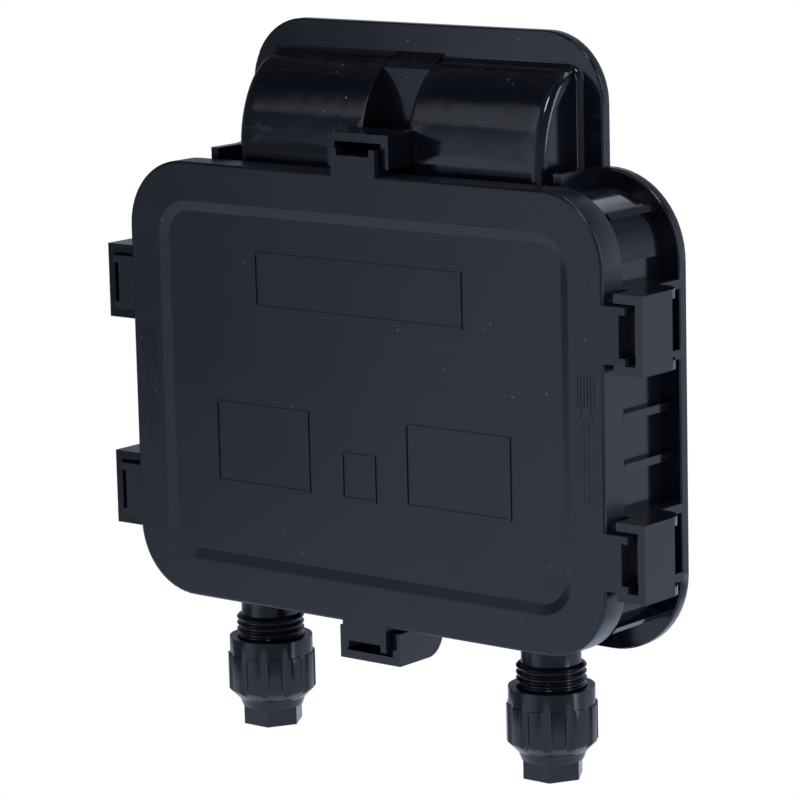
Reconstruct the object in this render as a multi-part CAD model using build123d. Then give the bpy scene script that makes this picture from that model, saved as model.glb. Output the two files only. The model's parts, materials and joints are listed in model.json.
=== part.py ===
"""Solar panel junction box: a flat moulded base with a bonding flange and a ribbon hump, a snap-on
cover held by six latch loops, two cable glands, and four terminal rails bridged by bypass diodes.

Millimetres. +X is the box's right seen from the front, +Z is up and -Y is the way the cover faces.
The origin is the centre of the flange's back face, which is bonded to the panel.
"""
import os
from math import cos, pi, radians, sin

from build123d import *

# ---------------------------------------------------------------- cover
COVER_WIDTH = 140.0
COVER_HEIGHT = 105.7
COVER_CORNER = 16.5
COVER_SKIRT = 7.5            # how far the rim reaches back from the front face
COVER_WALL = 1.8
COVER_PLATE = 2.6
COVER_EDGE_ROUND = 0.8
PANEL_INSET = 9.3            # from the cover's edge to the sunken panel
PANEL_BEVEL = 2.5
PANEL_DEPTH = 0.9
PANEL_CORNER = 9.0
FRAME_LINE = 0.5
FRAME_RAISE = 0.3
# name, left, right, bottom, top of each raised frame on the panel
FRAMES = [
    ("upper", -31.5, 30.3, 19.5, 32.7),
    ("left", -44.8, -16.0, -23.6, -4.0),
    ("middle", -6.2, 4.0, -23.6, -12.5),
    ("right", 13.0, 43.4, -23.2, -3.8),
]

# ---------------------------------------------------------------- base
TOTAL_DEPTH = 28.6           # flange back to cover front
BASE_WALL = 2.2
RIM_CLEARANCE = 0.45         # between the cover's skirt and the base's wall
FLANGE_SIDE = 2.5            # the flange's reach beyond the cover's side edge
FLANGE_ABOVE = 2.15
FLANGE_BELOW = 3.85
FLANGE_CORNER = 20.0
FLANGE_THICK = 2.5
FLANGE_EDGE_ROUND = 0.5
HEAD_MARGIN = 6.7            # head plate beyond each end of the hump
HEAD_RISE = 7.9              # head plate above the hump
HEAD_CORNER = 16.0

GROOVE_FLOOR_GAP = 1.6       # free height between the base's rim and the cover for the gasket
GASKET_WIDTH = 2.0
GASKET_GAP = 0.1
LIP_THICK = 1.4              # the cover's inner lip, inside the base's wall
LIP_DEPTH = 3.6

# ---------------------------------------------------------------- ribbon hump
HUMP_WIDTH = 90.6
HUMP_FRONT = 11.5            # depth of its front face behind the cover's front
HUMP_STRAIGHT = 4.4          # the front's height above the base's wall before it curves back
HUMP_HEIGHT = 26.7           # above the base's wall
HUMP_END_ROUND = 2.6
HUMP_FOOT_ROUND = 1.6
CHANNEL_WIDTH = 13.8
CHANNEL_FLOOR = 20.5         # depth of its floor behind the cover's front
CHANNEL_SHOULDER_DROP = 1.9  # from the hump's top down to where the channel's floor starts to slope
CHANNEL_RISE = 1.4           # the slope's top above the hump's top
SLOT_WIDTH = 28.0            # ribbon slot through the base's top wall, one on each side
SLOT_DEPTH = 7.5
SLOT_FLOOR = 2.6             # the slot's height above the floor

GUSSET_THICK = 2.2
GUSSET_HEIGHT = 4.6
GUSSET_FRONT = 10.0
RIB_THICK = 1.8
RIB_REACH = 1.75
RIB_FRONT = 8.3
RIB_HEIGHTS = (2.1, -9.4)
CORNER_RIB_REACH = 2.3

# ---------------------------------------------------------------- latches
LOOP_WIDTH = 18.0
LOOP_ARM = 2.1
LOOP_PLATE = 2.0
LOOP_REACH = 9.4             # beyond the cover's edge
LOOP_GAP = 1.6               # from the cover's edge to the arm's inner end
LOOP_FRONT = 2.0
LOOP_PLATE_DEPTH = 11.4
LOOP_ARM_REAR = 18.2
LOOP_ROUND = 5.5
SIDE_LATCH_UPPER = 22.1
SIDE_LATCH_LOWER = -29.1
TONGUE_CLEARANCE = 0.4
TONGUE_REACH = 4.4
PRONG_WIDTH = 1.7
PRONG_REACH = 6.1
TONGUE_DEPTH = 6.8
TONGUE_HOLLOW = 1.6          # wall left round the tongue's hollow back

# ---------------------------------------------------------------- glands
GLAND_X = 42.7
GLAND_DEPTH = 15.7           # the gland axis's depth behind the cover's front
NECK_RADIUS = 7.0
NECK_LENGTH = 8.2
THREAD_RADIUS = 8.2
THREAD_ROOT = 7.45
THREAD_PITCH = 1.5
THREAD_TURNS = 7
WIRE_BORE = 5.0
SHOULDER_RADIUS = 8.6        # the gland body's collar inside the base's wall
SHOULDER_THICK = 1.5
SEAT_GAP = 0.05              # round the gland body in its hole through the wall
SOCKET_RADIUS = 6.2
SOCKET_DEPTH = 9.0
RUNNING_GAP = 0.1
NUT_START = 5.6              # thread left bare above the nut
NUT_COLLAR_RADIUS = 10.1
NUT_COLLAR = 4.1
NUT_GRIP_RADIUS = 10.6
NUT_GRIP = 11.0
NUT_FLUTES = 12
NUT_FLUTE_RADIUS = 1.6
NUT_FLUTE_DEPTH = 0.75
NUT_GRIP_CHAMFER = 2.3
NUT_CONE = 2.2
NUT_HEX = 12.9               # across the flats
NUT_HEX_HEIGHT = 4.3
NUT_MOUTH = 3.8
NUT_THREAD_DEPTH = 12.2
CABLE_RADIUS = 3.0
SEAL_WALL = 1.5
CLAW_WALL = 1.5
CLAW_SLEEVE = 8.4
CLAW_HEAD_RADIUS = 7.3
CLAW_HEAD = 4.6
CLAW_FINGERS = 6
CLAW_SLIT = 1.0

# ---------------------------------------------------------------- terminals
RAIL_X = (-36.0, -15.0, 15.0, 36.0)
RAIL_WIDTH = 12.0
RAIL_THICK = 1.0
RAIL_BOTTOM = -30.0
RAIL_STEP = 27.0             # where the rail rises to the ribbon tab
RAIL_TOP = 37.0
RAIL_RISE = 3.5
POST_RADIUS = 2.6
POST_HEIGHT = 2.6
PIN_RADIUS = 1.2
PIN_HEIGHT = 1.0
PIN_GAP = 0.1
POST_HEIGHTS = (-8.0, 19.0)
CLIP_WIDTH = 8.0
CLIP_THICK = 0.6
CLIP_REACH = 6.0
RIBBON_GAP = 0.4
DIODE_RADIUS = 2.6
DIODE_LENGTH = 8.0
DIODE_LIFT = 1.2             # from the rail's face up to the diode's body
DIODE_LEAD = 0.6
DIODE_LAND = 3.0             # how far the lead lands in from the rail's edge
DIODE_Z = 5.0
CLAMP_Z = -20.0
CLAMP_LENGTH = 8.0
CLAMP_THICK = 1.4
CONDUCTOR_RADIUS = 1.7
SCREW_SPREAD = 4.2           # from the clamp's middle to each screw
SCREW_RADIUS = 1.2
SCREW_HEAD_RADIUS = 1.9
SCREW_HEAD = 1.4
SCREW_SLOT = 0.5
SCREW_HOLE_GAP = 0.15

# ---------------------------------------------------------------- derived places
FRONT = -TOTAL_DEPTH
SKIRT_BACK = FRONT + COVER_SKIRT
COVER_UNDER = FRONT + COVER_PLATE
RIM_FRONT = COVER_UNDER + GROOVE_FLOOR_GAP
FLOOR = -FLANGE_THICK
BODY_INSET = COVER_WALL + RIM_CLEARANCE
BODY_WIDTH = COVER_WIDTH - 2 * BODY_INSET
BODY_HEIGHT = COVER_HEIGHT - 2 * BODY_INSET
BODY_CORNER = COVER_CORNER - BODY_INSET
BODY_TOP = BODY_HEIGHT / 2
FLANGE_WIDTH = COVER_WIDTH + 2 * FLANGE_SIDE
FLANGE_TOP = COVER_HEIGHT / 2 + FLANGE_ABOVE
FLANGE_BOTTOM = -COVER_HEIGHT / 2 - FLANGE_BELOW
HUMP_STRAIGHT_TOP = BODY_TOP + HUMP_STRAIGHT
HUMP_TOP = BODY_TOP + HUMP_HEIGHT
CHANNEL_SHOULDER = HUMP_TOP - CHANNEL_SHOULDER_DROP
CHANNEL_TOP = HUMP_TOP + CHANNEL_RISE
HEAD_WIDTH = HUMP_WIDTH + 2 * HEAD_MARGIN
HEAD_TOP = HUMP_TOP + HEAD_RISE
EMBED = 0.6                  # how far one moulded feature runs into the next

HUMP_Y = FRONT + HUMP_FRONT
CHANNEL_Y = FRONT + CHANNEL_FLOOR
GLAND_Y = FRONT + GLAND_DEPTH
THREAD_START = -BODY_TOP - NECK_LENGTH
THREAD_LENGTH = THREAD_PITCH * THREAD_TURNS
SPIGOT_END = THREAD_START - THREAD_LENGTH
NUT_TOP = THREAD_START - NUT_START
NUT_BOTTOM = NUT_TOP - NUT_COLLAR - NUT_GRIP - NUT_CONE - NUT_HEX_HEIGHT
NUT_BORE = THREAD_RADIUS + RUNNING_GAP
CLAW_RADIUS = SOCKET_RADIUS - RUNNING_GAP
CLAW_BOTTOM = NUT_TOP - NUT_THREAD_DEPTH - 0.6
CLAW_TOP = CLAW_BOTTOM + CLAW_HEAD + CLAW_SLEEVE
SEAL_RADIUS = CLAW_RADIUS - CLAW_WALL

RAIL_BACK = FLOOR - POST_HEIGHT
RAIL_FRONT = RAIL_BACK - RAIL_THICK
TAB_BACK = RAIL_BACK - RAIL_RISE
TAB_FRONT = TAB_BACK - RAIL_THICK
CLAMP_FRONT = RAIL_FRONT - CLAMP_THICK


def facing(y):
    """A sketch plane at depth y, seen from the front: sketch x is X, sketch y is Z, extrudes to -Y."""
    return Plane(origin=(0, y, 0), x_dir=(1, 0, 0), z_dir=(0, -1, 0))


def span_box(x, y, z):
    """A box from three (low, high) pairs."""
    size = [high - low for low, high in (x, y, z)]
    centre = [(high + low) / 2 for low, high in (x, y, z)]
    return Pos(*centre) * Box(*size)


def slab(width, height, corner, y_back, depth):
    """A plate with rounded corners, from y_back forwards."""
    return extrude(facing(y_back) * RectangleRounded(width, height, corner), amount=depth)


def rod(radius, length, top):
    """A round bar hanging down from z = top on the local Z axis."""
    return Pos(0, 0, top - length / 2) * Cylinder(radius, length)


def stud(x, z, radius, y_back, length):
    """A round post that stands forwards from y_back."""
    return extrude(Plane(origin=(x, y_back, z), x_dir=(1, 0, 0), z_dir=(0, -1, 0)) * Circle(radius), amount=length)


def edges_at_front(shape, y):
    """The edges that lie wholly in the plane at depth y."""
    return shape.edges().filter_by_position(Axis.Y, y - 0.01, y + 0.01)


# ---------------------------------------------------------------- latch stations
def latch_places():
    """Name, location and kind of the six latches: local +X points away from the cover's edge."""
    side = COVER_WIDTH / 2
    end = COVER_HEIGHT / 2
    return [
        ("right_upper", Pos(side, 0, SIDE_LATCH_UPPER), "side"),
        ("right_lower", Pos(side, 0, SIDE_LATCH_LOWER), "side"),
        ("left_upper", Pos(-side, 0, SIDE_LATCH_UPPER) * Rot(0, 180, 0), "side"),
        ("left_lower", Pos(-side, 0, SIDE_LATCH_LOWER) * Rot(0, 180, 0), "side"),
        ("bottom", Pos(0, 0, -end) * Rot(0, 90, 0), "bottom"),
        ("top", Pos(0, 0, end) * Rot(0, -90, 0), "top"),
    ]


def loop_arm(kind):
    """One arm of a latch loop, its thickness centred on local z = 0."""
    half = LOOP_ARM / 2
    front = FRONT + LOOP_FRONT
    if kind == "top":
        rear = HUMP_Y + BASE_WALL * 0.7
        return span_box((LOOP_GAP, LOOP_REACH), (front, rear), (-half, half))
    rear = FRONT + LOOP_ARM_REAR
    hook = span_box((LOOP_GAP, LOOP_REACH), (front, rear), (-half, half))
    corner = hook.edges().filter_by(Axis.Z).sort_by(Axis.X)[-2:].sort_by(Axis.Y)[-1]
    hook = fillet(corner, LOOP_ROUND)
    flange_side = FLANGE_SIDE if kind == "side" else FLANGE_BELOW
    behind_skirt = SKIRT_BACK + RIM_CLEARANCE
    root = span_box((-BODY_INSET - EMBED, flange_side), (behind_skirt, FLOOR + EMBED), (-half, half))
    return hook + root


def latch_loop(kind):
    """A loop of the base: two arms and the outer plate that joins them."""
    offset = (LOOP_WIDTH - LOOP_ARM) / 2
    front = FRONT + LOOP_FRONT
    plate = span_box(
        (LOOP_REACH - LOOP_PLATE, LOOP_REACH), (front, front + LOOP_PLATE_DEPTH), (-LOOP_WIDTH / 2, LOOP_WIDTH / 2)
    )
    arm = loop_arm(kind)
    return plate + Pos(0, 0, offset) * arm + Pos(0, 0, -offset) * arm


def cover_tongue():
    """A tongue of the cover: a block that fills the loop's mouth, with a prong at each end."""
    half = LOOP_WIDTH / 2 - LOOP_ARM - TONGUE_CLEARANCE
    depth = (FRONT, FRONT + TONGUE_DEPTH)
    body = span_box((-EMBED, TONGUE_REACH), depth, (-half, half))
    hollow_depth = (FRONT + TONGUE_HOLLOW, FRONT + TONGUE_DEPTH + EMBED)
    hollow = span_box(
        (0, TONGUE_REACH - TONGUE_HOLLOW), hollow_depth, (-half + PRONG_WIDTH, half - PRONG_WIDTH)
    )
    body -= hollow
    for side in (-1, 1):
        middle = side * (half - PRONG_WIDTH / 2)
        body += span_box((0, PRONG_REACH), depth, (middle - PRONG_WIDTH / 2, middle + PRONG_WIDTH / 2))
    return body


# ---------------------------------------------------------------- base housing
def flange():
    """The bonding flange with the head plate behind the hump."""
    plate = slab(FLANGE_WIDTH, FLANGE_TOP - FLANGE_BOTTOM, FLANGE_CORNER, 0, FLANGE_THICK)
    plate = Pos(0, 0, (FLANGE_TOP + FLANGE_BOTTOM) / 2) * plate
    head_height = HEAD_TOP + HEAD_CORNER
    head = slab(HEAD_WIDTH, head_height, HEAD_CORNER, 0, FLANGE_THICK)
    head = Pos(0, 0, HEAD_TOP - head_height / 2) * head
    plate = plate + head
    return fillet(edges_at_front(plate, FLOOR), FLANGE_EDGE_ROUND)


def body_wall():
    """The four-sided wall that carries the cover, with its stiffening ribs and gussets."""
    depth = FLOOR - RIM_FRONT
    outer = slab(BODY_WIDTH, BODY_HEIGHT, BODY_CORNER, FLOOR + EMBED, depth + EMBED)
    for z in RIB_HEIGHTS:
        reach = BODY_WIDTH / 2 + RIB_REACH
        outer += span_box((-reach, reach), (FRONT + RIB_FRONT, FLOOR + EMBED), (z - RIB_THICK / 2, z + RIB_THICK / 2))
    for x in (-1, 1):
        for z in (-1, 1):
            turn = radians(40)
            reach = BODY_CORNER + CORNER_RIB_REACH
            rib = span_box((0, reach), (FRONT + RIB_FRONT, FLOOR + EMBED), (-RIB_THICK / 2, RIB_THICK / 2))
            centre = Pos(x * (BODY_WIDTH / 2 - BODY_CORNER), 0, z * (BODY_HEIGHT / 2 - BODY_CORNER))
            direction = -z * 40 if x > 0 else 180 + z * 40
            outer += centre * Rot(0, direction, 0) * rib
    for side in (-1, 1):
        outer_face = side * HEAD_WIDTH / 2
        inner_face = outer_face - side * GUSSET_THICK
        width = (min(outer_face, inner_face), max(outer_face, inner_face))
        outer += span_box(width, (FRONT + GUSSET_FRONT, FLOOR + EMBED), (BODY_TOP - EMBED, BODY_TOP + GUSSET_HEIGHT))
    return outer


def body_hollow():
    """The wiring space inside the wall, open to the front."""
    inner_corner = BODY_CORNER - BASE_WALL
    depth = FLOOR - RIM_FRONT
    return slab(BODY_WIDTH - 2 * BASE_WALL, BODY_HEIGHT - 2 * BASE_WALL, inner_corner, FLOOR, depth + EMBED)


def hump_profile(front, straight_top, top, bottom, back):
    """The hump's side outline: a straight front that curves back to the plate in a quarter ellipse."""
    arc = EllipticalCenterArc((back, straight_top), back - front, top - straight_top, start_angle=90, arc_size=90)
    outline = [
        Line((back, bottom), (front, bottom)),
        Line((front, bottom), (front, straight_top)),
        arc,
        Line((back, top), (back, bottom)),
    ]
    return make_face(outline)


def extrude_x(face, low, high):
    """A Y-Z outline drawn out from X = low to X = high."""
    return extrude(Plane(origin=(low, 0, 0), x_dir=(0, 1, 0), z_dir=(1, 0, 0)) * face, amount=high - low)


def hump():
    """Two hollow lobes either side of the release channel."""
    half = HUMP_WIDTH / 2
    inner = CHANNEL_WIDTH / 2
    bottom = BODY_TOP - EMBED
    profile = hump_profile(HUMP_Y, HUMP_STRAIGHT_TOP, HUMP_TOP, bottom, FLOOR + EMBED)
    whole = extrude_x(profile, -half, half)
    ends = [edge for edge in whole.edges() if abs(abs(edge.center().X) - half) < 0.01]
    ends = [edge for edge in ends if edge.center().Z > bottom + 0.1 and edge.center().Y < FLOOR - 0.1]
    whole = fillet(ends, HUMP_END_ROUND)
    notch = span_box((-inner, inner), (HUMP_Y - 1, CHANNEL_Y), (bottom - 1, HUMP_TOP + 3))
    whole -= notch
    slope = Polyline(
        (FLOOR + EMBED, bottom), (CHANNEL_Y, bottom), (CHANNEL_Y, CHANNEL_SHOULDER), (FLOOR, CHANNEL_TOP),
        (FLOOR + EMBED, CHANNEL_TOP), close=True
    )
    return whole + extrude_x(make_face(slope), -inner, inner)


def hump_hollow():
    """The ribbon chambers, open at the back through the head plate."""
    half = HUMP_WIDTH / 2 - BASE_WALL
    inner = CHANNEL_WIDTH / 2 + BASE_WALL
    bottom = BODY_TOP + BASE_WALL
    profile = hump_profile(HUMP_Y + BASE_WALL, HUMP_STRAIGHT_TOP, HUMP_TOP - BASE_WALL, bottom, 1)
    hollow = extrude_x(profile, -half, -inner) + extrude_x(profile, inner, half)
    passage = span_box((-inner, inner), (CHANNEL_Y + BASE_WALL, 1), (bottom, CHANNEL_SHOULDER - BASE_WALL))
    return hollow + passage


def ribbon_slots():
    """One slot on each side, from the ribbon chamber down into the wiring space."""
    middle = (HUMP_WIDTH / 2 + CHANNEL_WIDTH / 2) / 2
    low = FLOOR - SLOT_FLOOR - SLOT_DEPTH
    height = (BODY_TOP - BASE_WALL - 1, BODY_TOP + BASE_WALL + 1)
    slots = None
    for side in (-1, 1):
        x = side * middle
        slot = span_box((x - SLOT_WIDTH / 2, x + SLOT_WIDTH / 2), (low, low + SLOT_DEPTH), height)
        slots = slot if slots is None else slots + slot
    return slots


def thread_ridges():
    """The gland thread's ridges, turned as rings on their root."""
    step = THREAD_PITCH
    crest = step * 0.2
    points = [(0, THREAD_START)]
    for turn in range(THREAD_TURNS):
        top = THREAD_START - turn * step
        points += [
            (THREAD_ROOT, top),
            (THREAD_RADIUS, top - (step - crest) / 2),
            (THREAD_RADIUS, top - (step + crest) / 2),
        ]
    points += [(THREAD_ROOT, SPIGOT_END), (0, SPIGOT_END)]
    outline = make_face(Polyline(*points, close=True))
    return revolve(Plane.XZ * outline, Axis.Z)


def gland_body():
    """A gland's threaded tube, bonded in the base's wall against its inner collar."""
    inside = -BODY_TOP + BASE_WALL
    neck = rod(NECK_RADIUS, NECK_LENGTH + BASE_WALL + EMBED, inside + EMBED)
    collar = rod(SHOULDER_RADIUS, SHOULDER_THICK, inside + SHOULDER_THICK)
    tube = neck + collar + thread_ridges()
    passage = rod(WIRE_BORE, inside + SHOULDER_THICK - SPIGOT_END + 2, inside + SHOULDER_THICK + 1)
    socket = rod(SOCKET_RADIUS, SOCKET_DEPTH + 1, SPIGOT_END + SOCKET_DEPTH)
    return tube - passage - socket


def gland_hole():
    """The hole that a gland body passes through in the base's bottom wall."""
    return rod(NECK_RADIUS + SEAT_GAP, BASE_WALL + 2, -BODY_TOP + BASE_WALL + 1)


def clamp_screw_places(x):
    """The X of the two screws of the clamp on the rail at x."""
    return (x - SCREW_SPREAD, x + SCREW_SPREAD)


def floor_posts():
    """Posts that carry the rails, each with a locating pin, and the bosses of the clamp screws."""
    posts = []
    for x in RAIL_X:
        for z in POST_HEIGHTS:
            posts.append(stud(x, z, POST_RADIUS, FLOOR + EMBED, POST_HEIGHT + EMBED))
            posts.append(stud(x, z, PIN_RADIUS, RAIL_BACK + EMBED, RAIL_THICK + PIN_HEIGHT + EMBED))
    for x in (RAIL_X[0], RAIL_X[-1]):
        for screw_x in clamp_screw_places(x):
            post = stud(screw_x, CLAMP_Z, POST_RADIUS, FLOOR + EMBED, POST_HEIGHT + EMBED)
            hole = stud(screw_x, CLAMP_Z, SCREW_RADIUS, FLOOR, POST_HEIGHT + EMBED)
            posts.append(post - hole)
    return posts


def hump_foot_edges(shape):
    """The edges where the hump's lobes meet the head plate, above the wall."""
    half = HUMP_WIDTH / 2
    found = edges_at_front(shape, FLOOR)
    found = [edge for edge in found if abs(edge.center().X) < half + 0.1 and edge.center().Z > BODY_TOP + GUSSET_HEIGHT]
    return [edge for edge in found if edge.center().Z < HUMP_TOP + 0.1 and abs(edge.center().X) > CHANNEL_WIDTH / 2]


def base_housing():
    housing = flange() + hump()
    housing = fillet(hump_foot_edges(housing), HUMP_FOOT_ROUND)
    housing += body_wall()
    housing -= body_hollow()
    housing -= hump_hollow()
    housing -= ribbon_slots()
    for name, place, kind in latch_places():
        housing += place * latch_loop(kind)
    for x in (-GLAND_X, GLAND_X):
        housing -= Pos(x, GLAND_Y, 0) * gland_hole()
    for post in floor_posts():
        housing += post
    return housing


# ---------------------------------------------------------------- cover and gasket
def panel_recess():
    """The sunken middle of the cover, with a sloping border."""
    width = COVER_WIDTH - 2 * PANEL_INSET
    height = COVER_HEIGHT - 2 * PANEL_INSET
    small = PANEL_CORNER - PANEL_BEVEL
    mouth = facing(FRONT) * RectangleRounded(width, height, PANEL_CORNER)
    bed = facing(FRONT + PANEL_DEPTH) * RectangleRounded(width - 2 * PANEL_BEVEL, height - 2 * PANEL_BEVEL, small)
    return loft([mouth, bed])


def raised_frame(left, right, bottom, top):
    """A bare frame in raised line on the panel."""
    y_back = FRONT + PANEL_DEPTH + EMBED
    depth = FRAME_RAISE + EMBED
    outer = span_box((left, right), (y_back - depth, y_back), (bottom, top))
    line = FRAME_LINE
    inner = span_box((left + line, right - line), (y_back - depth - 1, y_back + 1), (bottom + line, top - line))
    return outer - inner


def cover():
    shell = slab(COVER_WIDTH, COVER_HEIGHT, COVER_CORNER, SKIRT_BACK, COVER_SKIRT)
    shell = fillet(edges_at_front(shell, FRONT), COVER_EDGE_ROUND)
    inner_width = COVER_WIDTH - 2 * COVER_WALL
    inner_height = COVER_HEIGHT - 2 * COVER_WALL
    inner_corner = COVER_CORNER - COVER_WALL
    shell -= slab(inner_width, inner_height, inner_corner, SKIRT_BACK + 1, SKIRT_BACK + 1 - COVER_UNDER)
    shell -= panel_recess()
    lip_inset = BODY_INSET + BASE_WALL + RIM_CLEARANCE
    lip = slab(
        COVER_WIDTH - 2 * lip_inset, COVER_HEIGHT - 2 * lip_inset, COVER_CORNER - lip_inset,
        COVER_UNDER + LIP_DEPTH, LIP_DEPTH + EMBED
    )
    core_inset = lip_inset + LIP_THICK
    core = slab(
        COVER_WIDTH - 2 * core_inset, COVER_HEIGHT - 2 * core_inset, COVER_CORNER - core_inset,
        COVER_UNDER + LIP_DEPTH + 1, LIP_DEPTH + 2 + EMBED
    )
    shell += lip - core
    for name, left, right, bottom, top in FRAMES:
        shell += raised_frame(left, right, bottom, top)
    for name, place, kind in latch_places():
        shell += place * cover_tongue()
    return shell


def cover_gasket():
    """The seal in the cover's groove, pressed on by the base's rim."""
    middle = BODY_INSET + BASE_WALL / 2
    outer = middle - GASKET_WIDTH / 2
    inner = middle + GASKET_WIDTH / 2
    y_back = RIM_FRONT - GASKET_GAP
    depth = y_back - COVER_UNDER
    ring = slab(COVER_WIDTH - 2 * outer, COVER_HEIGHT - 2 * outer, COVER_CORNER - outer, y_back, depth)
    hole = slab(COVER_WIDTH - 2 * inner, COVER_HEIGHT - 2 * inner, COVER_CORNER - inner, y_back + 1, depth + 2)
    return ring - hole


# ---------------------------------------------------------------- glands
def gland_nut():
    """The fluted nut with its collar, cone and hexagon, bored to ride on the thread."""
    collar = rod(NUT_COLLAR_RADIUS, NUT_COLLAR + EMBED, NUT_TOP)
    grip_top = NUT_TOP - NUT_COLLAR
    grip = rod(NUT_GRIP_RADIUS, NUT_GRIP, grip_top)
    grip = chamfer(grip.edges().sort_by(Axis.Z)[0], NUT_GRIP_CHAMFER)
    flute_at = NUT_GRIP_RADIUS + NUT_FLUTE_RADIUS - NUT_FLUTE_DEPTH
    for index in range(NUT_FLUTES):
        turn = 2 * pi * index / NUT_FLUTES
        flute = rod(NUT_FLUTE_RADIUS, NUT_GRIP + 2, grip_top + 1)
        grip -= Pos(flute_at * cos(turn), flute_at * sin(turn), 0) * flute
    cone_top = grip_top - NUT_GRIP
    hex_radius = NUT_HEX / 2 / cos(pi / 6)
    cone = Pos(0, 0, cone_top - NUT_CONE / 2) * Cone(hex_radius * 0.98, NUT_GRIP_RADIUS - NUT_GRIP_CHAMFER - 0.2, NUT_CONE)
    hexagon = extrude(RegularPolygon(hex_radius, 6), amount=-NUT_HEX_HEIGHT - EMBED)
    hexagon = Pos(0, 0, cone_top - NUT_CONE + EMBED) * hexagon
    nut = collar + grip + cone + hexagon
    bore_end = NUT_TOP - NUT_THREAD_DEPTH
    nut -= rod(NUT_BORE, NUT_THREAD_DEPTH + 1, NUT_TOP + 1)
    throat = NUT_BORE - NUT_MOUTH
    nut -= Pos(0, 0, bore_end - throat / 2) * Cone(NUT_MOUTH, NUT_BORE, throat)
    nut -= rod(NUT_MOUTH, bore_end - NUT_BOTTOM + 1, bore_end)
    return nut


def gland_claw():
    """The clamping ring: a sleeve in the spigot's socket and a head slit into fingers."""
    head_top = CLAW_BOTTOM + CLAW_HEAD
    claw = rod(CLAW_RADIUS, CLAW_SLEEVE + EMBED, CLAW_TOP)
    taper = CLAW_HEAD / 2
    head = rod(CLAW_HEAD_RADIUS, taper, head_top)
    head += Pos(0, 0, CLAW_BOTTOM + taper / 2) * Cone(CLAW_RADIUS, CLAW_HEAD_RADIUS, taper)
    claw += head
    claw -= rod(SEAL_RADIUS, CLAW_SLEEVE + CLAW_HEAD + 2, CLAW_TOP + 1)
    for index in range(CLAW_FINGERS):
        reach = CLAW_HEAD_RADIUS + 1
        slit = span_box((0, reach), (-CLAW_SLIT / 2, CLAW_SLIT / 2), (CLAW_BOTTOM - 1, head_top - CLAW_HEAD * 0.2))
        claw -= Rot(0, 0, 360 * index / CLAW_FINGERS) * slit
    return claw


def gland_seal():
    """The rubber bush that grips the cable inside the claw ring."""
    length = CLAW_TOP - CLAW_BOTTOM
    return rod(SEAL_RADIUS, length, CLAW_TOP) - rod(CABLE_RADIUS, length + 2, CLAW_TOP + 1)


# ---------------------------------------------------------------- terminals
def terminal_rail(x, clamped):
    """A copper rail: a flat strip on its posts that steps up to the ribbon tab."""
    bottom = RAIL_BOTTOM if clamped else POST_HEIGHTS[0] - RAIL_WIDTH / 2
    slope = RAIL_RISE
    outline = Polyline(
        (RAIL_BACK, bottom), (RAIL_BACK, RAIL_STEP), (TAB_BACK, RAIL_STEP + slope), (TAB_BACK, RAIL_TOP),
        (TAB_FRONT, RAIL_TOP), (TAB_FRONT, RAIL_STEP + slope - RAIL_THICK * 0.4),
        (RAIL_FRONT, RAIL_STEP - RAIL_THICK * 0.4), (RAIL_FRONT, bottom), close=True
    )
    half = RAIL_WIDTH / 2
    rail = extrude_x(make_face(outline), x - half, x + half)
    for z in POST_HEIGHTS:
        rail -= stud(x, z, PIN_RADIUS + PIN_GAP, RAIL_BACK + 1, RAIL_THICK + 2)
    if clamped:
        for screw_x in clamp_screw_places(x):
            rail -= stud(screw_x, CLAMP_Z, SCREW_RADIUS + SCREW_HOLE_GAP, RAIL_BACK + 1, RAIL_THICK + 2)
    return rail


def ribbon_clip(x):
    """A spring clip pushed over the tab's end, with room for the panel's ribbon in front of the tab."""
    inner_back = TAB_BACK
    inner_front = TAB_FRONT - RIBBON_GAP
    outer_back = inner_back + CLIP_THICK
    outer_front = inner_front - CLIP_THICK
    bottom = RAIL_TOP - CLIP_REACH
    outline = Polyline(
        (outer_back, bottom), (outer_back, RAIL_TOP + CLIP_THICK), (outer_front, RAIL_TOP + CLIP_THICK),
        (outer_front, bottom), (inner_front, bottom), (inner_front, RAIL_TOP), (inner_back, RAIL_TOP),
        (inner_back, bottom), close=True
    )
    return extrude_x(make_face(outline), x - CLIP_WIDTH / 2, x + CLIP_WIDTH / 2)


def bypass_diode(left_rail, right_rail):
    """An axial diode lying across the gap between two rails, its leads bent down on to them."""
    centre = (left_rail + right_rail) / 2
    reach = (right_rail - left_rail) / 2 - RAIL_WIDTH / 2 + DIODE_LAND
    axis_y = RAIL_FRONT - DIODE_LIFT - DIODE_RADIUS
    body = Rot(0, 90, 0) * Cylinder(DIODE_RADIUS, DIODE_LENGTH)
    drop = RAIL_FRONT - axis_y
    bend = 1.2
    path = FilletPolyline((-reach, drop), (-reach, 0), (reach, 0), (reach, drop), radius=bend)
    wire_plane = Plane(origin=(0, 0, 0), x_dir=(1, 0, 0), z_dir=(0, 0, 1))
    start = Plane(origin=(-reach, drop, 0), x_dir=(1, 0, 0), z_dir=(0, -1, 0))
    wire = sweep(start * Circle(DIODE_LEAD), path=wire_plane * path)
    return Pos(centre, axis_y, DIODE_Z) * (body + wire)


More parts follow.
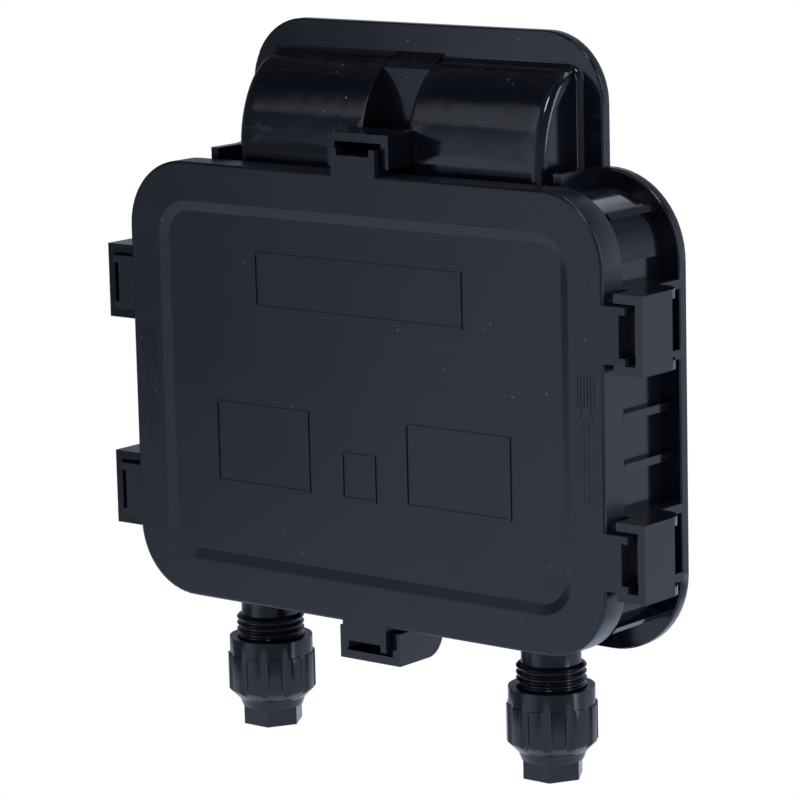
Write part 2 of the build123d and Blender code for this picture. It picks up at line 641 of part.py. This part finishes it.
def cable_clamp(x):
    """A saddle that holds the cable's conductor down on an outer rail."""
    half_width = RAIL_WIDTH / 2
    half_length = CLAMP_LENGTH / 2
    strip = span_box((x - half_width, x + half_width), (CLAMP_FRONT, RAIL_FRONT), (CLAMP_Z - half_length, CLAMP_Z + half_length))
    along = Pos(x, RAIL_FRONT, CLAMP_Z)
    arch = along * Cylinder(CONDUCTOR_RADIUS + CLAMP_THICK, CLAMP_LENGTH)
    tunnel = along * Cylinder(CONDUCTOR_RADIUS, CLAMP_LENGTH + 2)
    below = span_box((x - half_width, x + half_width), (RAIL_FRONT, RAIL_FRONT + 10), (CLAMP_Z - 10, CLAMP_Z + 10))
    clamp = strip + arch - tunnel - below
    for screw_x in clamp_screw_places(x):
        clamp -= stud(screw_x, CLAMP_Z, SCREW_RADIUS + SCREW_HOLE_GAP, RAIL_FRONT + 1, CLAMP_THICK + 2)
        clamp -= stud(screw_x, CLAMP_Z, SCREW_HEAD_RADIUS + SCREW_HOLE_GAP, CLAMP_FRONT, CLAMP_THICK + 5)
    return clamp


def clamp_screw(x):
    """A slotted cheese-head screw through the saddle and rail into the floor's boss."""
    length = CLAMP_FRONT - (FLOOR - EMBED)
    shank = stud(x, CLAMP_Z, SCREW_RADIUS, FLOOR - EMBED, -length)
    head = stud(x, CLAMP_Z, SCREW_HEAD_RADIUS, CLAMP_FRONT, SCREW_HEAD)
    front = CLAMP_FRONT - SCREW_HEAD
    slot = span_box(
        (x - SCREW_HEAD_RADIUS, x + SCREW_HEAD_RADIUS), (front - 1, front + SCREW_HEAD / 2),
        (CLAMP_Z - SCREW_SLOT / 2, CLAMP_Z + SCREW_SLOT / 2)
    )
    return shank + head - slot


def all_parts():
    parts = {
        "base_housing": base_housing(),
        "cover": cover(),
        "cover_gasket": cover_gasket(),
    }
    for side, x in (("left", -GLAND_X), ("right", GLAND_X)):
        axis = Pos(x, GLAND_Y, 0)
        parts["gland_body_" + side] = axis * gland_body()
        parts["gland_nut_" + side] = axis * gland_nut()
        parts["gland_claw_" + side] = axis * gland_claw()
        parts["gland_seal_" + side] = axis * gland_seal()
    last = len(RAIL_X) - 1
    for index, x in enumerate(RAIL_X):
        parts[f"terminal_rail_{index + 1}"] = terminal_rail(x, index in (0, last))
        parts[f"ribbon_clip_{index + 1}"] = ribbon_clip(x)
    for index in range(last):
        parts[f"bypass_diode_{index + 1}"] = bypass_diode(RAIL_X[index], RAIL_X[index + 1])
    for side, x in (("left", RAIL_X[0]), ("right", RAIL_X[-1])):
        parts["cable_clamp_" + side] = cable_clamp(x)
        for number, screw_x in enumerate(clamp_screw_places(x), start=1):
            parts[f"clamp_screw_{side}_{number}"] = clamp_screw(screw_x)
    return parts


os.makedirs("parts", exist_ok=True)
for name, shape in all_parts().items():
    shape.label = name
    export_step(shape, f"parts/{name}.step")
    print(name, len(shape.solids()), round(shape.volume, 1), [round(v, 2) for v in shape.bounding_box().size])
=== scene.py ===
"""Looks of the solar junction box: moulded black plastic in a plain white studio, in metres."""
import json
from math import cos, radians, sin

import bmesh
import bpy
from mathutils import Matrix, Vector


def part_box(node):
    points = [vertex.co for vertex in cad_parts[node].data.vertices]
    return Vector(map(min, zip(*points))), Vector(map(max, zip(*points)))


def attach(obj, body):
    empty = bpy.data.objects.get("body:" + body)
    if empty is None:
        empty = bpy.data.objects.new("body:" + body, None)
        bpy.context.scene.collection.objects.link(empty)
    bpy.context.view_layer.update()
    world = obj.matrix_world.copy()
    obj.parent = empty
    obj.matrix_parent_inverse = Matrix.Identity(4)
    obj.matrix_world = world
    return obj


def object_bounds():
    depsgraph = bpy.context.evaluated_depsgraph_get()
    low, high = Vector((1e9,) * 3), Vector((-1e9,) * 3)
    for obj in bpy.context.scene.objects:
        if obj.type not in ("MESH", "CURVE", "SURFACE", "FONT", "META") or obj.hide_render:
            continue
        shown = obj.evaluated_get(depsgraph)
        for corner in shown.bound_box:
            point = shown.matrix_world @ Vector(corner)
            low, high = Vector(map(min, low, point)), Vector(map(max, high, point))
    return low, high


MM = 0.001

# ---------------------------------------------------------------- camera
VIEW_AZIMUTH = 39.198          # degrees round from the front, towards +X
VIEW_ELEVATION = 10.714
VIEW_ROLL = -1.36
VIEW_DISTANCE = 0.91594
LENS = 176.73
AIM = Vector((0.00243, -0.01632, -0.00117))

# ---------------------------------------------------------------- surface sizes
EDGE_ROUND = 0.22 * MM
EDGE_ANGLE = 32                # degrees
WELD_REACH = 0.002 * MM
BUMP_DEPTH = 0.02 * MM

# ---------------------------------------------------------------- screwdriver sign
SIGN_RAISE = 0.14 * MM
SIGN_FROM_MIDDLE = 65.2 * MM
SIGN_GAP = 0.02 * MM
SIGN_LINE = 0.32 * MM
HANDLE_HALF = 2.4 * MM
HANDLE_TOP = 12.4 * MM
HANDLE_BOTTOM = 5.2 * MM
HANDLE_RIBS = 6
COLLAR_TOP_HALF = 1.1 * MM
COLLAR_FOOT_HALF = 1.9 * MM
COLLAR_BOTTOM = 2.2 * MM
BLADE_HALF = 0.8 * MM
BLADE_BOTTOM = -16.0 * MM

# ---------------------------------------------------------------- studio
FLOOR_SIZE = 6.0
FLOOR_DROP = 0.030             # the floor lies this far under the lowest gland
TENT_LEVEL = 0.80
FLOOR_LEVEL = 0.80
NEAR_FLOOR = (1.05, 1.05, 1.05, 1.0)
NEAR_TO_FAR = [(0.0, 0.0), (0.22, 0.0), (0.60, 1.0)]
COOL = (0.80, 0.90, 1.14, 1.0)
WHITE = (1.0, 1.0, 1.0, 1.0)
LAMP_COLOUR = (0.90, 0.96, 1.10)
LAMP_AIM = (0.0, -0.015, 0.0)
# name, place, size, power
LAMPS = [
    ("key", (-0.9, -1.3, 1.0), (0.7, 0.7), 1.0),
    ("edge", (0.51, -0.90, 1.20), (0.16, 0.45), 5.0),
    ("side", (1.3, 0.25, 0.5), (0.25, 1.0), 4.0),
    ("top", (0.2, 0.6, 1.2), (1.0, 0.3), 2.5),
]
# how bright the surround is at each turn, counted from the left anticlockwise seen from above
STUDIO = [
    (0.000, 0.25), (0.100, 0.22), (0.138, 0.24), (0.146, 1.20), (0.190, 1.30), (0.220, 1.20),
    (0.250, 0.60), (0.380, 0.45), (0.500, 0.50), (0.540, 1.10), (0.580, 1.10), (0.620, 1.00),
    (0.645, 1.00), (0.750, 0.70), (0.900, 0.40), (1.000, 0.25),
]
# how bright the tent is from straight below (0) to straight above (1)
TENT = [(0.0, 0.95), (0.52, 0.95), (0.68, 0.60), (0.85, 0.16), (1.0, 0.24)]

# ---------------------------------------------------------------- dust and wear
DUST_SCALE = 520.0
DUST_COLOUR = (0.42, 0.43, 0.45, 1.0)
FILM_COLOUR = (0.20, 0.18, 0.155, 1.0)
FILM_SHARE = 0.12              # of a material's dustiness
SCRATCH_SHARE = 0.06
MARK_ROUGHNESS = 0.35

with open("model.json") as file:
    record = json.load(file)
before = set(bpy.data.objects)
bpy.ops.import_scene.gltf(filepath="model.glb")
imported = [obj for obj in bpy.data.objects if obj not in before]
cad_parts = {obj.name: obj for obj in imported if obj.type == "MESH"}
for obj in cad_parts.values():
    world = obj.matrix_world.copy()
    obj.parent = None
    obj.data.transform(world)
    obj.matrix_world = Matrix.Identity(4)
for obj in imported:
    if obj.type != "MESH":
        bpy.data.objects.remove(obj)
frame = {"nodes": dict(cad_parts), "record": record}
nodes = frame["nodes"]
cad_low, cad_high = [Vector(corner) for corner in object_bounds()]


# ---------------------------------------------------------------- node helpers
class Graph:
    """A small wrapper that adds and links shader nodes."""

    def __init__(self, tree):
        self.tree = tree
        self.tree.nodes.clear()

    def add(self, kind, **values):
        node = self.tree.nodes.new(kind)
        for name, value in values.items():
            setattr(node, name, value)
        return node

    def link(self, source, target):
        self.tree.links.new(source, target)

    def math(self, operation, first, second):
        node = self.add("ShaderNodeMath", operation=operation)
        for socket, value in zip(node.inputs, (first, second)):
            if hasattr(value, "links"):
                self.link(value, socket)
            else:
                socket.default_value = value
        return node.outputs[0]

    def noise(self, vector, scale, detail=2.0, roughness=0.5):
        node = self.add("ShaderNodeTexNoise")
        self.link(vector, node.inputs["Vector"])
        node.inputs["Scale"].default_value = scale
        node.inputs["Detail"].default_value = detail
        node.inputs["Roughness"].default_value = roughness
        return node.outputs["Fac"]

    def ramp(self, factor, stops):
        node = self.add("ShaderNodeValToRGB")
        elements = node.color_ramp.elements
        while len(elements) < len(stops):
            elements.new(0.5)
        for element, (position, value) in zip(elements, stops):
            element.position = position
            element.color = (value, value, value, 1.0)
        self.link(factor, node.inputs["Fac"])
        return node.outputs["Color"]


def surround(graph, vector):
    """How bright the studio is round the part: two pale screens with darker gaps between."""
    turn = graph.add("ShaderNodeTexGradient", gradient_type="RADIAL")
    graph.link(vector, turn.inputs["Vector"])
    return graph.ramp(turn.outputs["Fac"], STUDIO)


def dust_mask(graph, vector):
    """Small pale specks, thinly scattered and gathered in patches."""
    cells = graph.add("ShaderNodeTexVoronoi", feature="F1")
    graph.link(vector, cells.inputs["Vector"])
    cells.inputs["Scale"].default_value = DUST_SCALE
    cells.inputs["Randomness"].default_value = 1.0
    near = graph.ramp(cells.outputs["Distance"], [(0.0, 1.0), (0.10, 1.0), (0.17, 0.0)])
    split = graph.add("ShaderNodeSeparateColor")
    graph.link(cells.outputs["Color"], split.inputs["Color"])
    chosen = graph.ramp(split.outputs["Red"], [(0.0, 0.0), (0.90, 0.0), (0.95, 1.0)])
    patches = graph.ramp(graph.noise(vector, 28.0), [(0.0, 0.0), (0.42, 0.15), (0.66, 1.0)])
    return graph.math("MULTIPLY", graph.math("MULTIPLY", near, chosen), patches)


def scratch_mask(graph, vector):
    """A few hair-thin, slightly wavering scratches."""
    mapping = graph.add("ShaderNodeMapping")
    graph.link(vector, mapping.inputs["Vector"])
    mapping.inputs["Rotation"].default_value = (0.3, 0.5, 0.9)
    mapping.inputs["Scale"].default_value = (3.0, 3.0, 60.0)
    wave = graph.math("SUBTRACT", graph.noise(mapping.outputs[0], 1.6, 3.0), 0.5)
    line = graph.math("ABSOLUTE", wave, 0.0)
    thin = graph.ramp(line, [(0.0, 1.0), (0.0018, 0.0)])
    area = graph.ramp(graph.noise(vector, 42.0), [(0.0, 0.0), (0.60, 0.0), (0.70, 1.0)])
    return graph.math("MULTIPLY", thin, area)


def moulded_plastic(name, colour, roughness, grain, grain_scale, dusty):
    """Black moulded plastic: fine grain, slow gloss variation, dust specks and faint scratches."""
    material = bpy.data.materials.new(name)
    material.use_nodes = True
    graph = Graph(material.node_tree)
    output = graph.add("ShaderNodeOutputMaterial")
    shader = graph.add("ShaderNodeBsdfPrincipled")
    graph.link(shader.outputs[0], output.inputs["Surface"])
    vector = graph.add("ShaderNodeTexCoord").outputs["Object"]

    dust = dust_mask(graph, vector)
    scratches = scratch_mask(graph, vector)
    specks = graph.math("MULTIPLY", dust, dusty)
    marks = graph.math("MAXIMUM", specks, graph.math("MULTIPLY", scratches, SCRATCH_SHARE))
    tint = graph.add("ShaderNodeMix", data_type="RGBA")
    cloud = graph.ramp(graph.noise(vector, 34.0, 3.0), [(0.3, 0.0), (0.7, 1.0)])
    graph.link(cloud, tint.inputs["Factor"])
    tint.inputs["A"].default_value = (*[channel * 0.9 for channel in colour], 1.0)
    tint.inputs["B"].default_value = (*[channel * 1.12 for channel in colour], 1.0)
    dusted = graph.add("ShaderNodeMix", data_type="RGBA")
    graph.link(marks, dusted.inputs["Factor"])
    graph.link(tint.outputs["Result"], dusted.inputs["A"])
    dusted.inputs["B"].default_value = DUST_COLOUR
    film = graph.add("ShaderNodeMix", data_type="RGBA")
    normal = graph.add("ShaderNodeSeparateXYZ")
    graph.link(graph.add("ShaderNodeNewGeometry").outputs["Normal"], normal.inputs[0])
    upward = graph.ramp(normal.outputs["Z"], [(0.0, 0.0), (0.55, 0.0), (0.95, 1.0)])
    settled = graph.ramp(graph.noise(vector, 260.0, 4.0, 0.7), [(0.40, 0.1), (0.72, 1.0)])
    lying = graph.math("MULTIPLY", upward, settled)
    graph.link(graph.math("MULTIPLY", lying, dusty * FILM_SHARE), film.inputs["Factor"])
    graph.link(dusted.outputs["Result"], film.inputs["A"])
    film.inputs["B"].default_value = FILM_COLOUR
    graph.link(film.outputs["Result"], shader.inputs["Base Color"])

    gloss_range = [(0.25, roughness - 0.035), (0.75, roughness + 0.045)]
    gloss = graph.ramp(graph.noise(vector, 60.0, 4.0), gloss_range)
    rough = graph.math("ADD", gloss, graph.math("MULTIPLY", marks, MARK_ROUGHNESS))
    graph.link(rough, shader.inputs["Roughness"])
    shader.inputs["IOR"].default_value = 1.5

    bump = graph.add("ShaderNodeBump")
    bump.inputs["Strength"].default_value = grain
    bump.inputs["Distance"].default_value = BUMP_DEPTH
    graph.link(graph.noise(vector, grain_scale, 3.0, 0.6), bump.inputs["Height"])
    graph.link(bump.outputs[0], shader.inputs["Normal"])
    return material


def metal(name, colour, roughness, brush):
    """Plated or plain sheet metal with a faint drawn grain."""
    material = bpy.data.materials.new(name)
    material.use_nodes = True
    graph = Graph(material.node_tree)
    output = graph.add("ShaderNodeOutputMaterial")
    shader = graph.add("ShaderNodeBsdfPrincipled")
    graph.link(shader.outputs[0], output.inputs["Surface"])
    shader.inputs["Metallic"].default_value = 1.0
    vector = graph.add("ShaderNodeTexCoord").outputs["Object"]
    mapping = graph.add("ShaderNodeMapping")
    graph.link(vector, mapping.inputs["Vector"])
    mapping.inputs["Scale"].default_value = brush
    streak = graph.noise(mapping.outputs[0], 40.0, 3.0)
    tint = graph.add("ShaderNodeMix", data_type="RGBA")
    graph.link(streak, tint.inputs["Factor"])
    tint.inputs["A"].default_value = (*[channel * 0.82 for channel in colour], 1.0)
    tint.inputs["B"].default_value = (*colour, 1.0)
    graph.link(tint.outputs["Result"], shader.inputs["Base Color"])
    rough = graph.ramp(streak, [(0.2, roughness - 0.06), (0.8, roughness + 0.08)])
    graph.link(rough, shader.inputs["Roughness"])
    return material


BLACK = (0.0045, 0.0056, 0.0088)
MATERIALS = {
    "housing_plastic": moulded_plastic("housing_plastic", BLACK, 0.13, 0.04, 700.0, 0.75),
    "cover_plastic": moulded_plastic("cover_plastic", (0.0050, 0.0062, 0.0098), 0.30, 0.16, 2600.0, 0.30),
    "gland_plastic": moulded_plastic("gland_plastic", BLACK, 0.20, 0.06, 1500.0, 0.35),
    "claw_plastic": moulded_plastic("claw_plastic", (0.030, 0.031, 0.034), 0.45, 0.20, 1500.0, 0.05),
    "silicone": moulded_plastic("silicone", (0.030, 0.031, 0.034), 0.62, 0.30, 1200.0, 0.10),
    "diode_body": moulded_plastic("diode_body", (0.012, 0.012, 0.012), 0.48, 0.20, 1800.0, 0.05),
    "tinned_copper": metal("tinned_copper", (0.80, 0.76, 0.70), 0.26, (1.0, 1.0, 8.0)),
    "spring_steel": metal("spring_steel", (0.62, 0.62, 0.61), 0.32, (8.0, 1.0, 1.0)),
    "screw_steel": metal("screw_steel", (0.66, 0.66, 0.62), 0.30, (4.0, 4.0, 1.0)),
}


def dress_nodes():
    """Gives each CAD node its material, and rounds its hard edges a hair so that they catch light."""
    slots = {part["node"]: part["material_slot"] for part in frame["record"]["subparts"]}
    for name, obj in nodes.items():
        obj.data.materials.clear()
        obj.data.materials.append(MATERIALS[slots[name]])
        weld = obj.modifiers.new("weld", "WELD")
        weld.merge_threshold = WELD_REACH
        bevel = obj.modifiers.new("edge_round", "BEVEL")
        bevel.width = EDGE_ROUND
        bevel.segments = 2
        bevel.limit_method = "ANGLE"
        bevel.angle_limit = radians(EDGE_ANGLE)
        bevel.use_clamp_overlap = True
        bevel.harden_normals = False


# ---------------------------------------------------------------- signs on the cover's rim
def raised_outline(points, height, origin):
    """A closed flat outline in X-Z, raised forwards from the cover's face."""
    mesh = bmesh.new()
    back = [mesh.verts.new((origin[0] + x, origin[1], origin[2] + z)) for x, z in points]
    face = mesh.faces.new(back)
    face.normal_update()
    raised = bmesh.ops.extrude_face_region(mesh, geom=[face])
    moved = [item for item in raised["geom"] if isinstance(item, bmesh.types.BMVert)]
    bmesh.ops.translate(mesh, verts=moved, vec=(0, -height, 0))
    bmesh.ops.recalc_face_normals(mesh, faces=mesh.faces)
    return mesh


def bar(low, high, origin, height):
    """A raised bar between two X-Z corners."""
    points = [(low[0], low[1]), (high[0], low[1]), (high[0], high[1]), (low[0], high[1])]
    return raised_outline(points, height, origin)


def join_meshes(name, pieces):
    """One object from several bmesh pieces."""
    data = bpy.data.meshes.new(name)
    whole = bmesh.new()
    for piece in pieces:
        part = bpy.data.meshes.new("part")
        piece.to_mesh(part)
        piece.free()
        whole.from_mesh(part)
        bpy.data.meshes.remove(part)
    whole.to_mesh(data)
    whole.free()
    obj = bpy.data.objects.new(name, data)
    bpy.context.scene.collection.objects.link(obj)
    return obj


def screwdriver_sign(name, side):
    """A screwdriver by a latch pair in thin raised line: ribbed handle, collar and blade."""
    low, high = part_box("cover")
    origin = (side * SIGN_FROM_MIDDLE, low[1] + SIGN_GAP, 0.0)
    cross_raise = SIGN_RAISE * 0.9
    blade_raise = SIGN_RAISE * 0.7
    pieces = []
    for index in range(HANDLE_RIBS):
        x = -HANDLE_HALF + index * (2 * HANDLE_HALF - SIGN_LINE) / (HANDLE_RIBS - 1)
        pieces.append(bar((x, HANDLE_BOTTOM), (x + SIGN_LINE, HANDLE_TOP), origin, SIGN_RAISE))
    for z in (HANDLE_BOTTOM, HANDLE_TOP - SIGN_LINE):
        pieces.append(bar((-HANDLE_HALF, z), (HANDLE_HALF, z + SIGN_LINE), origin, cross_raise))
    for x_side in (-1, 1):
        top = x_side * COLLAR_TOP_HALF
        foot = x_side * COLLAR_FOOT_HALF
        points = [(top - SIGN_LINE / 2, HANDLE_BOTTOM), (top + SIGN_LINE / 2, HANDLE_BOTTOM),
                  (foot + SIGN_LINE / 2, COLLAR_BOTTOM), (foot - SIGN_LINE / 2, COLLAR_BOTTOM)]
        pieces.append(raised_outline(points, SIGN_RAISE, origin))
    collar_foot = (-COLLAR_FOOT_HALF, COLLAR_BOTTOM)
    collar_top = (COLLAR_FOOT_HALF, COLLAR_BOTTOM + SIGN_LINE)
    pieces.append(bar(collar_foot, collar_top, origin, cross_raise))
    for x in (-BLADE_HALF, BLADE_HALF - SIGN_LINE):
        pieces.append(bar((x, BLADE_BOTTOM), (x + SIGN_LINE, COLLAR_BOTTOM), origin, blade_raise))
    blade_foot = BLADE_BOTTOM + SIGN_LINE
    pieces.append(bar((-BLADE_HALF, BLADE_BOTTOM), (BLADE_HALF, blade_foot), origin, blade_raise))
    obj = join_meshes(name, pieces)
    obj.data.materials.append(MATERIALS["cover_plastic"])
    bevel = obj.modifiers.new("edge_round", "BEVEL")
    bevel.width = SIGN_LINE * 0.3
    bevel.segments = 2
    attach(obj, "lid")
    return obj


# ---------------------------------------------------------------- studio
def area_light(name, place, aim, size, power, colour):
    """A soft rectangular light at place, turned to aim."""
    data = bpy.data.lights.new(name, "AREA")
    data.shape = "RECTANGLE"
    data.size, data.size_y = size
    data.energy = power
    data.color = colour
    obj = bpy.data.objects.new(name, data)
    bpy.context.scene.collection.objects.link(obj)
    obj.location = place
    obj.rotation_euler = (Vector(aim) - Vector(place)).to_track_quat("-Z", "Y").to_euler()
    return obj


def set_camera():
    """A long lens at the photograph's viewing angle."""
    yaw, pitch, roll = radians(VIEW_AZIMUTH), radians(VIEW_ELEVATION), radians(VIEW_ROLL)
    back = Vector((sin(yaw) * cos(pitch), -cos(yaw) * cos(pitch), sin(pitch)))
    level = Vector((cos(yaw), sin(yaw), 0.0))
    upright = back.cross(level)
    right = cos(roll) * level + sin(roll) * upright
    up = -sin(roll) * level + cos(roll) * upright
    data = bpy.data.cameras.new("camera")
    data.lens = LENS
    data.sensor_width = 36.0
    data.clip_start = 0.01
    obj = bpy.data.objects.new("camera", data)
    bpy.context.scene.collection.objects.link(obj)
    turn = Matrix((right, up, back)).transposed().to_4x4()
    obj.matrix_world = Matrix.Translation(AIM + back * VIEW_DISTANCE) @ turn
    bpy.context.scene.camera = obj


def cooled(graph, level):
    """A grey level turned to the studio's cool tint."""
    tint = graph.add("ShaderNodeMix", data_type="RGBA", blend_type="MULTIPLY")
    tint.inputs["Factor"].default_value = 1.0
    graph.link(level, tint.inputs["A"])
    tint.inputs["B"].default_value = COOL
    return tint.outputs["Result"]


def seen_or_lit(graph, lit, seen):
    """The seen shader towards the camera, and the lit one for everything that it shines on."""
    path = graph.add("ShaderNodeLightPath")
    mix = graph.add("ShaderNodeMixShader")
    graph.link(path.outputs["Is Camera Ray"], mix.inputs[0])
    graph.link(lit.outputs[0], mix.inputs[1])
    graph.link(seen.outputs[0], mix.inputs[2])
    return mix


def white_floor():
    """A pale sheet under the part, clear from below so that it never hides the part."""
    mesh = bpy.data.meshes.new("floor")
    z = cad_low.z - FLOOR_DROP
    corners = [(x * FLOOR_SIZE, y * FLOOR_SIZE, z) for x, y in ((-1, -1), (1, -1), (1, 1), (-1, 1))]
    mesh.from_pydata(corners, [], [(0, 1, 2, 3)])
    obj = bpy.data.objects.new("floor", mesh)
    bpy.context.scene.collection.objects.link(obj)
    material = bpy.data.materials.new("floor_paper")
    material.use_nodes = True
    graph = Graph(material.node_tree)
    output = graph.add("ShaderNodeOutputMaterial")
    seen = graph.add("ShaderNodeEmission")
    seen.inputs["Strength"].default_value = 1.0
    place = graph.add("ShaderNodeTexCoord").outputs["Object"]
    reach = graph.add("ShaderNodeVectorMath", operation="LENGTH")
    graph.link(place, reach.inputs[0])
    level = graph.add("ShaderNodeMix", data_type="RGBA")
    graph.link(graph.ramp(reach.outputs["Value"], NEAR_TO_FAR), level.inputs["Factor"])
    level.inputs["A"].default_value = NEAR_FLOOR
    graph.link(surround(graph, place), level.inputs["B"])
    lit = graph.add("ShaderNodeEmission")
    graph.link(cooled(graph, level.outputs["Result"]), lit.inputs["Color"])
    lit.inputs["Strength"].default_value = FLOOR_LEVEL
    one_sided = graph.add("ShaderNodeMixShader")
    graph.link(graph.add("ShaderNodeNewGeometry").outputs["Backfacing"], one_sided.inputs[0])
    graph.link(seen_or_lit(graph, lit, seen).outputs[0], one_sided.inputs[1])
    graph.link(graph.add("ShaderNodeBsdfTransparent").outputs[0], one_sided.inputs[2])
    graph.link(one_sided.outputs[0], output.inputs["Surface"])
    mesh.materials.append(material)


def set_world():
    """White behind the part; what the part mirrors is a dim tent, paler low down than above."""
    world = bpy.data.worlds.new("studio")
    bpy.context.scene.world = world
    world.use_nodes = True
    graph = Graph(world.node_tree)
    output = graph.add("ShaderNodeOutputWorld")
    seen = graph.add("ShaderNodeBackground")
    seen.inputs["Color"].default_value = WHITE
    seen.inputs["Strength"].default_value = 1.0
    direction = graph.add("ShaderNodeSeparateXYZ")
    coordinates = graph.add("ShaderNodeTexCoord").outputs["Generated"]
    graph.link(coordinates, direction.inputs[0])
    height = graph.math("ADD", graph.math("MULTIPLY", direction.outputs["Z"], 0.5), 0.5)
    level = graph.math("MULTIPLY", graph.ramp(height, TENT), surround(graph, coordinates))
    lit = graph.add("ShaderNodeBackground")
    graph.link(cooled(graph, level), lit.inputs["Color"])
    lit.inputs["Strength"].default_value = TENT_LEVEL
    graph.link(seen_or_lit(graph, lit, seen).outputs[0], output.inputs["Surface"])


def set_lights():
    """Four soft lamps, all turned to the middle of the part."""
    for name, place, size, power in LAMPS:
        area_light(name, place, LAMP_AIM, size, power, LAMP_COLOUR)


def set_view():
    """Plain display colours, with no film curve."""
    view = bpy.context.scene.view_settings
    view.view_transform = "Standard"
    view.look = "None"
    view.exposure = 0.0
    view.gamma = 1.0


dress_nodes()
screwdriver_sign("latch_sign_right", 1)
screwdriver_sign("latch_sign_left", -1)
set_world()
set_lights()
white_floor()
set_camera()
set_view()
